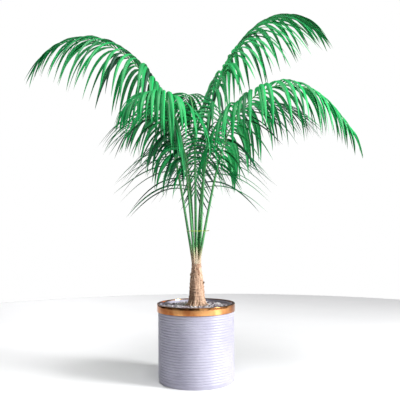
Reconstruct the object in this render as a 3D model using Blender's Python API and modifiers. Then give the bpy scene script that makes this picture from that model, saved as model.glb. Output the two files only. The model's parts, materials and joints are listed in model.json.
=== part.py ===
"""Potted kentia palm: a ribbed round planter with a polished band, dressed with gravel,
and a short fibrous trunk that carries eight arching fronds. Metres, +Z up; the origin is
the middle of the planter's flat underside."""

from math import asin, atan2, copysign, cos, pi, radians, sin, tau
from random import Random

import bmesh
import bpy
from mathutils import Vector
from mathutils.bvhtree import BVHTree

GAP = 0.0003                    # clearance between touching pieces

# planter
POT_HEIGHT = 0.320
POT_RADIUS = 0.160
POT_WALL = 0.009
POT_FLOOR = 0.012
FOOT_ROUND = 0.004              # rounding under the pot's foot
RIB_COUNT = 26
RIB_DEPTH = 0.0014
RIBS_FROM = 0.010
ROUND_STEPS = 32

BAND_RADIUS = 0.165
BAND_HEIGHT = 0.032
BAND_LIP = 0.0032               # thickness of the lip that covers the pot's edge
BAND_MOUTH = 0.1535             # inner radius of that lip

GRAVEL_TOP = 0.310
GRAVEL_EDGE = 0.305
GRAVEL_DEPTH = 0.022
MOUND_RADIUS = 0.070

# trunk
TRUNK_X = 0.0035                # the trunk stands a little right of the pot's axis
TRUNK_TOP = 0.485
TRUNK_SIDES = 20
TRUNK_SECTIONS = (              # height above the gravel, radius, root swelling
    (0.000, 0.0390, 0.0065),
    (0.008, 0.0365, 0.0050),
    (0.020, 0.0345, 0.0030),
    (0.045, 0.0318, 0.0012),
    (0.080, 0.0298, 0.0008),
    (0.112, 0.0266, 0.0006),
    (0.132, 0.0232, 0.0004),
    (0.152, 0.0206, 0.0002),
    (TRUNK_TOP - GRAVEL_TOP, 0.0195, 0.0),
)
ROOT_LOBES = 7

SHEATH_RADIUS = 0.0184
SHEATH_THICKNESS = 0.0012
SHEATH_HEIGHT = 0.070
SHEATH_FACING = 275             # degrees round the trunk
SHEATH_SPREAD = 33              # half its width at the foot, in degrees

TIE_HEIGHT = 0.624
TIE_WIRE = 0.0009               # radius of the tie's wire
TIE_TAIL = 0.014
TIE_TAIL_FACING = -12

# fronds
FOOT_RING = 0.0132              # radius of the ring of petiole feet
STEM_FOOT = 0.0044              # radius of a petiole at its foot
STEM_SPLIT = 0.0036             # radius where the leaflets begin
STEM_TIP = 0.0011
LINE_STEPS = 120
PETIOLE_STEP = 0.060            # length between the sections of a petiole
RIB_STEP = 0.045                # and of a blade's rib
SQUARE_END = 0.003              # straight length at each end, so that two stems meet face to face
BLADE_SPLIT = 0.46              # share of a blade that its inner half takes

LEAFLET_SPACING = 0.040
LEAFLET_WIDTH = 0.021
LEAFLET_THICKNESS = 0.0040
LEAFLET_ROOT = 0.5              # half a leaflet's width at its root, in the rib's radius there
SPREAD_LOSS = 36                # degrees that leaflets close towards the tip of their rib
LEAFLET_LIFT = 20               # degrees that leaflets start above their rib
FLAT_ANGLE = 0.3                # faces of a blade that turn less than this are one
LEAFLET_ROLL = 0.35             # how far they stay in the plane of their blade; 0 lies level
LEAFLET_SHARES = (0.0, 0.30, 0.66, 1.0)
LEAFLET_WIDTHS = (None, 1.0, 0.80, None)
CLEARANCE = 0.0010              # kept between a leaflet and everything of another piece
SPLIT_CLEAR = 0.008             # least length of rib between a leaflet and its blade's split

# foot and bearing turn from +X towards +Y, in degrees. A frond leaves the trunk at the
# slope rise and ends at the slope fall; hold and snap say where along it the bend lies.
# bare is the share of its length with no leaflets, and hang the slope that they end at.
FRONDS = {
    "left": dict(
        foot=190, central=False, bearing=178, swing=24, length=1.33, rise=81.2, fall=-47,
        hold=4.0, snap=1.33, bare=0.36, leaflet=0.42, hang=-72, spread=58, seed=11),
    "front_left": dict(
        foot=237, central=False, bearing=244, swing=-21, length=0.93, rise=80.4, fall=-44,
        hold=6.2, snap=2.7, bare=0.45, leaflet=0.4, hang=-82, spread=60, seed=12),
    "front_right": dict(
        foot=313, central=False, bearing=322, swing=34, length=1.20, rise=76.2, fall=-53,
        hold=4.6, snap=3.46, bare=0.38, leaflet=0.33, hang=-86, spread=66, seed=13),
    "right": dict(
        foot=12, central=False, bearing=8, swing=14, length=1.41, rise=87, fall=-36,
        hold=2.9, snap=0.70, bare=0.40, leaflet=0.43, hang=-58, spread=48, seed=14),
    "back_right": dict(
        foot=56, central=False, bearing=44, swing=-38, length=1.07, rise=87.8, fall=-37,
        hold=2.35, snap=1.03, bare=0.33, leaflet=0.42, hang=-52, spread=60, seed=15),
    "back": dict(
        foot=100, central=False, bearing=92, swing=-4, length=1.10, rise=89.4, fall=-80,
        hold=2.2, snap=1.36, bare=0.27, leaflet=0.43, hang=-48, spread=66, seed=16),
    "back_upper": dict(
        foot=118, central=True, bearing=115, swing=-15, length=0.93, rise=89.5, fall=-80,
        hold=9.0, snap=2.2, bare=0.66, leaflet=0.22, hang=-60, spread=60, seed=17),
    "back_left": dict(
        foot=144, central=False, bearing=150, swing=1, length=0.89, rise=87.9, fall=-37,
        hold=4.4, snap=1.83, bare=0.42, leaflet=0.4, hang=-56, spread=60, seed=18),
}

CERAMIC = ("satin white ceramic", (0.86, 0.85, 0.88), 0.42, 0.0)
COPPER = ("polished copper", (0.86, 0.46, 0.24), 0.12, 1.0)
SOIL = ("moist potting mix", (0.045, 0.030, 0.020), 0.95, 0.0)
GRAVEL = ("pale gravel", (0.56, 0.53, 0.54), 0.80, 0.0)
BARK = ("fibrous tan bark", (0.52, 0.34, 0.20), 0.88, 0.0)
DRY_SHEATH = ("dry leaf sheath", (0.60, 0.50, 0.36), 0.75, 0.0)
TIE_WIRE_COLOUR = ("yellow green tie", (0.48, 0.62, 0.06), 0.45, 0.0)
PETIOLE = ("green petiole", (0.045, 0.26, 0.090), 0.42, 0.0)
LEAF = ("kentia leaflet", (0.010, 0.36, 0.085), 0.45, 0.0)

finishes = {}


def finish(piece, look):
    """Gives a piece its material, made once for each finish."""
    name, colour, roughness, metallic = look
    if name not in finishes:
        material = bpy.data.materials.new(name)
        material.use_nodes = True
        shader = material.node_tree.nodes["Principled BSDF"]
        shader.inputs["Base Color"].default_value = (*colour, 1)
        shader.inputs["Roughness"].default_value = roughness
        shader.inputs["Metallic"].default_value = metallic
        material.diffuse_color = (*colour, 1)
        finishes[name] = material
    piece.data.materials.clear()
    piece.data.materials.append(finishes[name])


def new_object(name, data, collection):
    piece = bpy.data.objects.new(name, data)
    collection.objects.link(piece)
    return piece


def mesh_from(name, vertices, faces):
    mesh = bpy.data.meshes.new(name)
    mesh.from_pydata([tuple(vertex) for vertex in vertices], [], faces)
    mesh.validate()
    mesh.update()
    return mesh


def turned(name, profile, collection, look):
    """A solid of revolution from a profile of (radius, height) that runs down its outside."""
    vertices = [(radius, 0, height) for radius, height in profile]
    edges = [(index, index + 1) for index in range(len(profile) - 1)]
    if profile[0][0] > 0:
        edges.append((len(profile) - 1, 0))
    mesh = bpy.data.meshes.new(name)
    mesh.from_pydata(vertices, edges, [])
    piece = new_object(name, mesh, collection)
    screw = piece.modifiers.new("turn", "SCREW")
    screw.angle = tau
    screw.steps = ROUND_STEPS
    screw.render_steps = ROUND_STEPS
    screw.use_merge_vertices = True
    screw.merge_threshold = 0.0001
    screw.use_smooth_shade = True
    finish(piece, look)
    return piece


def tube(name, points, radii, collection, bevel_resolution=2):
    """A curve with a round section through the points, its radius given at each."""
    curve = bpy.data.curves.new(name, "CURVE")
    curve.dimensions = "3D"
    curve.twist_mode = "MINIMUM"
    curve.bevel_depth = 1
    curve.bevel_resolution = bevel_resolution
    curve.use_fill_caps = True
    spline = curve.splines.new("POLY")
    spline.points.add(len(points) - 1)
    for knot, point, radius in zip(spline.points, points, radii):
        knot.co = (*point, 1)
        knot.radius = radius
    return new_object(name, curve, collection)


def as_mesh(piece):
    """Turns a curve object into a mesh object with its end caps welded."""
    name = piece.name
    collection = piece.users_collection[0]
    graph = bpy.context.evaluated_depsgraph_get()
    graph.update()
    mesh = bpy.data.meshes.new_from_object(piece.evaluated_get(graph))
    build = bmesh.new()
    build.from_mesh(mesh)
    bmesh.ops.remove_doubles(build, verts=build.verts, dist=0.00001)
    bmesh.ops.triangulate(build, faces=build.faces)
    build.to_mesh(mesh)
    build.free()
    placement = piece.matrix_world.copy()
    bpy.data.objects.remove(piece)
    welded = new_object(name, mesh, collection)
    welded.matrix_world = placement
    return welded


# planter


def make_pot(collection):
    inner = POT_RADIUS - POT_WALL
    edge = POT_HEIGHT - BAND_LIP - GAP
    band_foot = POT_HEIGHT - BAND_HEIGHT - GAP
    pitch = (band_foot - RIBS_FROM) / RIB_COUNT
    profile = [(0, POT_FLOOR), (inner, POT_FLOOR), (inner, edge), (POT_RADIUS - GAP, edge)]
    for rib in range(RIB_COUNT):
        top = band_foot - rib * pitch
        profile.append((POT_RADIUS - RIB_DEPTH, top))
        profile.append((POT_RADIUS, top - pitch / 2))
    profile += [(POT_RADIUS - RIB_DEPTH, RIBS_FROM), (POT_RADIUS - RIB_DEPTH, FOOT_ROUND)]
    profile += [(POT_RADIUS - RIB_DEPTH - FOOT_ROUND * (1 - cos(turn)), FOOT_ROUND * (1 - sin(turn)))
                for turn in (pi / 4, pi / 2)]
    profile.append((0, 0))
    return turned("pot", profile, collection, CERAMIC)


def make_band(collection):
    foot = POT_HEIGHT - BAND_HEIGHT
    bevel = 0.0008
    profile = [
        (BAND_MOUTH, POT_HEIGHT - BAND_LIP),
        (BAND_MOUTH, POT_HEIGHT),
        (BAND_RADIUS - bevel, POT_HEIGHT),
        (BAND_RADIUS, POT_HEIGHT - bevel),
        (BAND_RADIUS, foot + bevel),
        (BAND_RADIUS - bevel, foot),
        (POT_RADIUS, foot),
        (POT_RADIUS, POT_HEIGHT - BAND_LIP),
    ]
    return turned("rim_band", profile, collection, COPPER)


def make_filling(collection):
    inner = POT_RADIUS - POT_WALL - GAP
    bed = GRAVEL_TOP - GRAVEL_DEPTH
    turned("potting_mix", [(0, bed - GAP), (inner, bed - GAP), (inner, POT_FLOOR + GAP),
                           (0, POT_FLOOR + GAP)], collection, SOIL)
    turned("gravel", [(0, GRAVEL_TOP), (MOUND_RADIUS, GRAVEL_TOP), (inner, GRAVEL_EDGE), (inner, bed),
                      (0, bed)], collection, GRAVEL)


# trunk, sheath and tie


def make_trunk(collection):
    """A loft of lobed rings, from the flat cut on the gravel to the flat top."""
    build = bmesh.new()
    rings = []
    for height, radius, swelling in TRUNK_SECTIONS:
        ring = []
        for side in range(TRUNK_SIDES):
            turn = tau * side / TRUNK_SIDES
            reach = radius + swelling * cos(ROOT_LOBES * turn) + 0.4 * swelling * sin(3 * turn)
            ring.append(build.verts.new((TRUNK_X + reach * cos(turn), reach * sin(turn),
                                         GRAVEL_TOP + GAP + height * (1 - GAP / TRUNK_TOP))))
        rings.append(ring)
    for lower, upper in zip(rings, rings[1:]):
        for side in range(TRUNK_SIDES):
            after = (side + 1) % TRUNK_SIDES
            build.faces.new((lower[side], lower[after], upper[after], upper[side]))
    build.faces.new(list(reversed(rings[0])))
    build.faces.new(rings[-1])
    mesh = bpy.data.meshes.new("trunk")
    build.to_mesh(mesh)
    build.free()
    mesh.shade_smooth()
    mesh.set_sharp_from_angle(angle=radians(50))
    piece = new_object("trunk", mesh, collection)
    finish(piece, BARK)
    return piece


def make_sheath(collection):
    """The dry pointed leaf sheath that clasps the front of the petioles."""
    columns = 6
    rows = 7
    vertices = []
    for row in range(rows):
        share = row / rows
        spread = radians(SHEATH_SPREAD) * (1 - share) ** 0.9 * (1 - 0.45 * sin(pi * share))
        for column in range(columns + 1):
            turn = radians(SHEATH_FACING) + spread * (2 * column / columns - 1)
            vertices.append((TRUNK_X + SHEATH_RADIUS * cos(turn), SHEATH_RADIUS * sin(turn),
                             TRUNK_TOP + 2 * GAP + SHEATH_HEIGHT * share))
    tip_turn = radians(SHEATH_FACING)
    vertices.append((TRUNK_X + SHEATH_RADIUS * cos(tip_turn), SHEATH_RADIUS * sin(tip_turn),
                     TRUNK_TOP + 2 * GAP + SHEATH_HEIGHT))
    faces = []
    for row in range(rows - 1):
        for column in range(columns):
            corner = row * (columns + 1) + column
            faces.append((corner, corner + 1, corner + columns + 2, corner + columns + 1))
    last = (rows - 1) * (columns + 1)
    for column in range(columns):
        faces.append((last + column, last + column + 1, len(vertices) - 1))
    piece = new_object("leaf_sheath", mesh_from("leaf_sheath", vertices, faces), collection)
    wall = piece.modifiers.new("thickness", "SOLIDIFY")
    wall.thickness = SHEATH_THICKNESS
    wall.offset = 1
    finish(piece, DRY_SHEATH)
    return piece


def point_on_line_at_height(line, height):
    for lower, upper in zip(line, line[1:]):
        if lower.z <= height <= upper.z:
            return lower.lerp(upper, (height - lower.z) / (upper.z - lower.z))
    return line[0]


def make_tie(lines, collection):
    """A wire loop drawn round all the petioles, with one end sticking out."""
    reach = STEM_FOOT + 3 * GAP + TIE_WIRE
    stems = [point_on_line_at_height(line, TIE_HEIGHT) for line in lines]
    loop = []
    steps = 28
    start = radians(TIE_TAIL_FACING)
    for step in range(steps):
        turn = start + (tau - 0.16) * step / (steps - 1) + 0.08
        outward = Vector((cos(turn), sin(turn), 0))
        stem = max(stems, key=lambda place: place.dot(outward))
        contact = stem + reach * outward
        contact.z = TIE_HEIGHT
        if not loop or (contact - loop[-1]).length > 0.0004:
            loop.append(contact)
    tail = loop[0] + TIE_TAIL * Vector((cos(start), sin(start), 0.15)).normalized()
    points = [tail] + loop
    piece = tube("tie", points, [TIE_WIRE] * len(points), collection, 1)
    finish(piece, TIE_WIRE_COLOUR)
    return piece


# fronds


def frond_line(frond):
    """Points along a frond's midline, from its foot on the trunk to its tip."""
    turn = radians(frond["foot"])
    ring = 0 if frond["central"] else FOOT_RING
    lift = GAP + 0.00005 + STEM_FOOT * cos(radians(frond["rise"]))
    point = Vector((TRUNK_X + ring * cos(turn), ring * sin(turn), TRUNK_TOP + lift))
    points = [point]
    step = frond["length"] / LINE_STEPS
    for index in range(LINE_STEPS):
        share = (index + 0.5) / LINE_STEPS
        bent = 1 - (1 - share ** frond["hold"]) ** frond["snap"]
        slope = radians(frond["rise"] + (frond["fall"] - frond["rise"]) * bent)
        heading = radians(frond["bearing"] + frond["swing"] * share ** 2)
        level = step * cos(slope)
        point = point + Vector((level * cos(heading), level * sin(heading), step * sin(slope)))
        points.append(point)
    return points


def on_line(line, share):
    """The point at a share of a line's length, and the line's direction there."""
    place = min(max(share, 0), 1) * (len(line) - 1)
    index = min(int(place), len(line) - 2)
    point = line[index].lerp(line[index + 1], place - index)
    return point, (line[index + 1] - line[index]).normalized()


def stem_radius(frond, share):
    bare = frond["bare"]
    if share < bare:
        return STEM_FOOT + (STEM_SPLIT - STEM_FOOT) * share / bare
    return STEM_SPLIT + (STEM_TIP - STEM_SPLIT) * (share - bare) / (1 - bare)


def stem_shares(frond, start, end, spacing):
    """Where along a frond the sections of one of its stems lie."""
    clear = GAP / 2 / frond["length"]
    start += clear if start > 0 else 0
    end -= clear if end < 1 else 0
    steps = max(4, round((end - start) * frond["length"] / spacing))
    shares = [start + (end - start) * step / steps for step in range(steps + 1)]
    square = SQUARE_END / frond["length"]
    return [start, start + square] + shares[1:-1] + [end - square, end]


def make_stem(name, frond, line, shares, collection, bevel_resolution):
    """A tapering length of a frond's midrib through sections at the shares of its length."""
    points = [on_line(line, share)[0] for share in shares]
    radii = [stem_radius(frond, share) for share in shares]
    return tube(name, points, radii, collection, bevel_resolution)


def halfway_of(frond):
    return frond["bare"] + (1 - frond["bare"]) * BLADE_SPLIT


def on_rib(frond, line, share):
    """The point at a share of a frond's length on the straight lengths that its rib is made of."""
    halfway = halfway_of(frond)
    ends = (frond["bare"], halfway) if share < halfway else (halfway, 1)
    shares = stem_shares(frond, *ends, RIB_STEP)
    for before, after in zip(shares, shares[1:]):
        if share <= after:
            start = on_line(line, before)[0]
            return start.lerp(on_line(line, after)[0], (share - before) / (after - before))
    return on_line(line, shares[-1])[0]


def smooth(value):
    value = min(max(value, 0), 1)
    return value * value * (3 - 2 * value)


def leaflet_reach(along):
    """Length of a leaflet, as a share of its frond's longest, at a share along the blade."""
    return (0.82 + 0.18 * smooth(along / 0.25)) * (1 - 0.60 * smooth((along - 0.45) / 0.55))


def leaflet_solid(frond, line, share, hand, nudge, swell, root_skip):
    """Vertices and faces of one drooping leaflet. hand is 1 or -1 for its side of the rib,
    nudge turns and droops it a little, and swell thickens it to test what it clears."""
    along = (share - frond["bare"]) / (1 - frond["bare"])
    base = on_rib(frond, line, share)
    rib = on_line(line, share)[1]
    side = rib.cross(Vector((0, 0, 1))).normalized() * hand
    above = side.cross(rib) * hand
    spread = radians(frond["spread"] - SPREAD_LOSS * smooth(along) + nudge[0])
    outward = side * cos(radians(LEAFLET_LIFT)) + above * sin(radians(LEAFLET_LIFT))
    direction = rib * cos(spread) + outward * sin(spread)
    heading = Vector((direction.x, direction.y, 0)).normalized()
    level = heading.cross(Vector((0, 0, 1)))
    across = rib * sin(spread) - outward * cos(spread)
    roll = atan2(across.dot(level.cross(direction)), across.dot(level))
    if abs(roll) > pi / 2:
        roll -= copysign(pi, roll)
    roll *= LEAFLET_ROLL
    first_slope = asin(direction.z)
    last_slope = min(first_slope, radians(frond["hang"] + nudge[1]))
    length = frond["leaflet"] * leaflet_reach(along) * nudge[2]
    width = LEAFLET_WIDTH * (0.55 + 0.45 * leaflet_reach(along))
    fine_steps = 24
    point = base.copy()
    vertices = []
    for step in range(fine_steps + 1):
        reached = step / fine_steps
        slope = first_slope + (last_slope - first_slope) * (1 - (1 - reached) ** 2)
        ahead = heading * cos(slope) + Vector((0, 0, sin(slope)))
        across = level * cos(roll) + level.cross(ahead) * sin(roll)
        crown = across.cross(ahead)
        for share_along, widening in zip(LEAFLET_SHARES, LEAFLET_WIDTHS):
            if round(share_along * fine_steps) != step or (root_skip and step == 0):
                continue
            if share_along == 1:
                vertices.append(point + ahead * swell)
                continue
            if step == 0:
                half = LEAFLET_ROOT * stem_radius(frond, share)
                thickness = 2 * half
            else:
                half = width / 2 * widening + swell
                thickness = LEAFLET_THICKNESS + 2 * swell
            keel = crown * thickness / 3
            vertices += [point - across * half - keel, point + across * half - keel,
                         point + crown * thickness * 2 / 3]
        point = point + ahead * length / fine_steps
    rings = (len(vertices) - 1) // 3
    faces = [(0, 1, 2)]
    for ring in range(rings):
        for corner in range(3):
            here = 3 * ring + corner
            beside = 3 * ring + (corner + 1) % 3
            if ring == rings - 1:
                faces.append((beside, here, 3 * rings))
            else:
                faces += [(beside, here, here + 3), (beside, here + 3, beside + 3)]
    return vertices, faces


def surface_of(vertices, faces):
    """A search tree over a surface, with its bounding box."""
    low = Vector([min(vertex[axis] for vertex in vertices) for axis in range(3)])
    high = Vector([max(vertex[axis] for vertex in vertices) for axis in range(3)])
    return BVHTree.FromPolygons(vertices, faces), low, high


def surface_of_object(piece):
    graph = bpy.context.evaluated_depsgraph_get()
    graph.update()
    evaluated = piece.evaluated_get(graph)
    mesh = evaluated.to_mesh()
    vertices = [piece.matrix_world @ vertex.co for vertex in mesh.vertices]
    faces = [tuple(polygon.vertices) for polygon in mesh.polygons]
    evaluated.to_mesh_clear()
    return surface_of(vertices, faces)


def is_clear(surface, obstacles):
    tree, low, high = surface
    for other_tree, other_low, other_high in obstacles:
        apart = any(low[axis] > other_high[axis] or high[axis] < other_low[axis] for axis in range(3))
        if not apart and tree.overlap(other_tree):
            return False
    return True


def grow_leaflets(frond, line, others):
    """The leaflets of one frond, each turned until it is clear of the other fronds and of its
    own leaflets beyond their roots. Gives the share along the frond and the solid of each."""
    chance = Random(frond["seed"])
    blade = frond["length"] * (1 - frond["bare"])
    count = round(blade / LEAFLET_SPACING)
    halfway = halfway_of(frond)
    grown = []
    own = []
    for index in range(count):
        for hand in (1, -1):
            along = (index + 0.35 + (0.15 if hand > 0 else -0.15)) / count
            share = frond["bare"] + (1 - frond["bare"]) * along
            if abs(share - halfway) * frond["length"] < SPLIT_CLEAR:
                share = halfway + SPLIT_CLEAR / frond["length"]
            turn = chance.uniform(-3, 3)
            droop = chance.uniform(-4, 4)
            stretch = chance.uniform(0.94, 1.05)
            tries = [(0, 0), (5, 0), (-5, 0), (0, 9), (0, -9), (9, 6), (-9, 6), (12, -10), (-12, -10),
                     (0, 18), (14, 16), (-14, 16)]
            for add_turn, add_droop in tries:
                nudge = (turn + add_turn, droop + add_droop, stretch)
                whole = surface_of(*leaflet_solid(frond, line, share, hand, nudge, CLEARANCE, False))
                free = surface_of(*leaflet_solid(frond, line, share, hand, nudge, CLEARANCE, True))
                if is_clear(whole, others) and is_clear(free, own):
                    own.append(surface_of(*leaflet_solid(frond, line, share, hand, nudge, 0, True)))
                    grown.append((share, *leaflet_solid(frond, line, share, hand, nudge, 0, False)))
                    break
    return grown


def fuse(core, solids, collection):
    """One closed body from a rib and the leaflets whose roots are sunk in it."""
    holder = bpy.data.collections.new(core.name + "_leaflets")
    bpy.context.scene.collection.children.link(holder)
    for index, (share, vertices, faces) in enumerate(solids):
        new_object(f"{core.name}_leaflet_{index}", mesh_from("leaflet", vertices, faces), holder)
    union = core.modifiers.new("fuse leaflets", "BOOLEAN")
    union.operation = "UNION"
    union.operand_type = "COLLECTION"
    union.collection = holder
    union.solver = "EXACT"
    graph = bpy.context.evaluated_depsgraph_get()
    graph.update()
    mesh = bpy.data.meshes.new_from_object(core.evaluated_get(graph))
    build = bmesh.new()
    build.from_mesh(mesh)
    bmesh.ops.dissolve_limit(build, angle_limit=radians(FLAT_ANGLE), verts=build.verts, edges=build.edges)
    bmesh.ops.triangulate(build, faces=build.faces)
    build.to_mesh(mesh)
    build.free()
    core.modifiers.clear()
    core.data = mesh
    for leaflet in list(holder.objects):
        bpy.data.objects.remove(leaflet)
    bpy.data.collections.remove(holder)
    finish(core, LEAF)


def make_fronds(collection):
    lines = {name: frond_line(frond) for name, frond in FRONDS.items()}
    stems = {}
    for name, frond in FRONDS.items():
        line = lines[name]
        halfway = halfway_of(frond)
        petiole = make_stem(name + "_petiole", frond, line,
                            stem_shares(frond, 0, frond["bare"], PETIOLE_STEP), collection, 2)
        finish(petiole, PETIOLE)
        inner = make_stem(name + "_blade_inner", frond, line,
                          stem_shares(frond, frond["bare"], halfway, RIB_STEP), collection, 0)
        outer = make_stem(name + "_blade_outer", frond, line,
                          stem_shares(frond, halfway, 1, RIB_STEP), collection, 0)
        stems[name] = (petiole, as_mesh(inner), as_mesh(outer), halfway)
    grown = {}
    placed = []
    for name, frond in FRONDS.items():
        limbs = [surface_of_object(piece) for other, pieces in stems.items() for piece in pieces[:3]
                 if other != name]
        limbs.append(surface_of_object(stems[name][0]))
        grown[name] = grow_leaflets(frond, lines[name], limbs + placed)
        placed += [surface_of(vertices, faces) for share, vertices, faces in grown[name]]
    for name, (petiole, inner, outer, halfway) in stems.items():
        fuse(inner, [leaf for leaf in grown[name] if leaf[0] < halfway], collection)
        fuse(outer, [leaf for leaf in grown[name] if leaf[0] >= halfway], collection)
        print(name, "leaflets", len(grown[name]))
    return list(lines.values())


def main():
    for piece in list(bpy.data.objects):
        bpy.data.objects.remove(piece)
    collection = bpy.data.collections.new("potted_kentia_palm")
    bpy.context.scene.collection.children.link(collection)
    make_pot(collection)
    make_band(collection)
    make_filling(collection)
    make_trunk(collection)
    make_sheath(collection)
    lines = make_fronds(collection)
    make_tie(lines, collection)


main()
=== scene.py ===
import json
from math import asin, atan2, copysign, cos, exp, pi, radians, sin, tau
from random import Random

import bmesh
import bpy
from mathutils import Euler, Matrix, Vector
from mathutils.noise import noise as wander

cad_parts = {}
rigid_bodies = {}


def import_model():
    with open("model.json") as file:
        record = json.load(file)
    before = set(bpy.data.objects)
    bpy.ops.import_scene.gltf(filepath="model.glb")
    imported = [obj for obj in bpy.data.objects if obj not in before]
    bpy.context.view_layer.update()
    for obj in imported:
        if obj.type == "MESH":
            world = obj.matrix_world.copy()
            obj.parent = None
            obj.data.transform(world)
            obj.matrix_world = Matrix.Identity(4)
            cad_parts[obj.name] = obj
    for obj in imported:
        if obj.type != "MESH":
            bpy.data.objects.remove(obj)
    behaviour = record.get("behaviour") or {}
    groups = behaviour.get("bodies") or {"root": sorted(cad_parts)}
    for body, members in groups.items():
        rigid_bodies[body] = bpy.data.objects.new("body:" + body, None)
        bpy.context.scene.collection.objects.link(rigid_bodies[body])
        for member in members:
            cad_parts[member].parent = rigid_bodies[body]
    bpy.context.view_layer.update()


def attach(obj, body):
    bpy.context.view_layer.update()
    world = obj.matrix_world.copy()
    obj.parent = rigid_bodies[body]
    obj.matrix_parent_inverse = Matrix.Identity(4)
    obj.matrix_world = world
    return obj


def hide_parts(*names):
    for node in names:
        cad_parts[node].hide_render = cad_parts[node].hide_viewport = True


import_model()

up = Vector((0, 0, 1))
sharp = {"planter": 40, "bark": 70, "bundle": 65}  # edges that bend by more degrees than this stay sharp


def smooth(value):
    value = min(max(value, 0), 1)
    return value * value * (3 - 2 * value)


def between(value, pairs):
    # reads a table of (place, amount) rows, straight between them
    for (lowPlace, lowAmount), (highPlace, highAmount) in zip(pairs, pairs[1:]):
        if value <= highPlace:
            share = (value - lowPlace) / (highPlace - lowPlace)
            return lowAmount + (highAmount - lowAmount) * max(share, 0)
    return pairs[-1][1]


def outwardAt(turn):
    return Vector((cos(turn), sin(turn), 0))


def eitherWay(chance, amount):
    return chance.uniform(-amount, amount)


def newPiece(name, mesh):
    piece = bpy.data.objects.new(name, mesh)
    bpy.context.scene.collection.objects.link(piece)
    return piece


def meshOf(name, vertices, faces):
    mesh = bpy.data.meshes.new(name)
    mesh.from_pydata([tuple(vertex) for vertex in vertices], [], faces)
    mesh.validate()
    mesh.shade_smooth()
    return mesh


def giveMaterials(piece, materials):
    piece.data.materials.clear()
    for material in materials:
        piece.data.materials.append(material)


def keepPiece(piece, slotName, *replaced):
    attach(piece, "root")
    if replaced:
        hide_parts(*replaced)


def mapped(nodes, links, source, span, result):
    # a Map Range node from one span of values to another
    node = nodes.new("ShaderNodeMapRange")
    node.inputs["From Min"].default_value, node.inputs["From Max"].default_value = span
    node.inputs["To Min"].default_value, node.inputs["To Max"].default_value = result
    links.new(source, node.inputs["Value"])
    return node


# camera and studio light

camera = {"place": (0.0212, -2.31, 0.624), "pitch": 3.28, "roll": 0.52, "lens": 48.6, "sensor": 36}
lamps = {
    "key": {"place": (3.3, -1.5, 1.7), "aim": (0, 0, 0.6), "size": (0.9, 2.2), "power": 235},
    "top": {"place": (0.0, -1.0, 3.8), "aim": (0, 0, 0.9), "size": (1.8, 1.8), "power": 85},
    "rear": {"place": (-1.6, 3.2, 2.2), "aim": (0, 0, 0.9), "size": (1.6, 1.6), "power": 60},
}
# the room's light comes in bright and dark parts, which the polished band reflects,
# and it is brighter on the right; the camera itself sees plain white
studio = {"partScale": 2.6, "partSpan": (0.44, 0.56), "partLight": (0.04, 0.56),
          "sideSpan": (-0.6, 0.9), "sideLight": (0.22, 1.5), "white": 1.0}


def makeCamera():
    data = bpy.data.cameras.new("camera")
    data.lens = camera["lens"]
    data.sensor_width = camera["sensor"]
    holder = newPiece("camera", data)
    holder.location = camera["place"]
    tilt = Euler((radians(90 + camera["pitch"]), 0, 0)).to_matrix()
    roll = Euler((0, 0, radians(-camera["roll"]))).to_matrix()
    holder.rotation_euler = (tilt @ roll).to_euler()
    bpy.context.scene.camera = holder


def makeLamp(name, place, aim, size, power):
    lamp = bpy.data.lights.new(name, "AREA")
    lamp.shape = "RECTANGLE"
    lamp.size, lamp.size_y = size
    lamp.energy = power
    holder = newPiece(name, lamp)
    holder.location = place
    holder.rotation_euler = (Vector(place) - Vector(aim)).to_track_quat("Z", "Y").to_euler()


def makeStudio():
    world = bpy.data.worlds.new("studio")
    world.use_nodes = True
    nodes, links = world.node_tree.nodes, world.node_tree.links
    backdrop = nodes["Background"]
    backdrop.inputs["Color"].default_value = (1, 1, 1, 1)
    toward = nodes.new("ShaderNodeTexCoord")
    clouds = nodes.new("ShaderNodeTexNoise")
    clouds.inputs["Scale"].default_value = studio["partScale"]
    links.new(toward.outputs["Generated"], clouds.inputs["Vector"])
    parts = mapped(nodes, links, clouds.outputs["Fac"], studio["partSpan"], studio["partLight"])
    compass = nodes.new("ShaderNodeSeparateXYZ")
    links.new(toward.outputs["Generated"], compass.inputs[0])
    sideways = mapped(nodes, links, compass.outputs["X"], studio["sideSpan"], studio["sideLight"])
    product = nodes.new("ShaderNodeMath")
    product.operation = "MULTIPLY"
    links.new(parts.outputs["Result"], product.inputs[0])
    links.new(sideways.outputs["Result"], product.inputs[1])
    seen = nodes.new("ShaderNodeLightPath")
    level = nodes.new("ShaderNodeMix")
    level.data_type = "FLOAT"
    links.new(seen.outputs["Is Camera Ray"], level.inputs["Factor"])
    links.new(product.outputs["Value"], level.inputs["A"])
    level.inputs["B"].default_value = studio["white"]
    links.new(level.outputs["Result"], backdrop.inputs["Strength"])
    bpy.context.scene.world = world
    bpy.context.scene.view_settings.view_transform = "Standard"


makeCamera()
for lampName, lampValues in lamps.items():
    makeLamp(lampName, **lampValues)
makeStudio()
print("camera and light made")

# materials


def addSockets(group, way, sockets):
    for name, kind, *value in sockets:
        socket = group.interface.new_socket(name=name, in_out=way, socket_type="NodeSocket" + kind)
        if value:
            socket.default_value = value[0]


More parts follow.
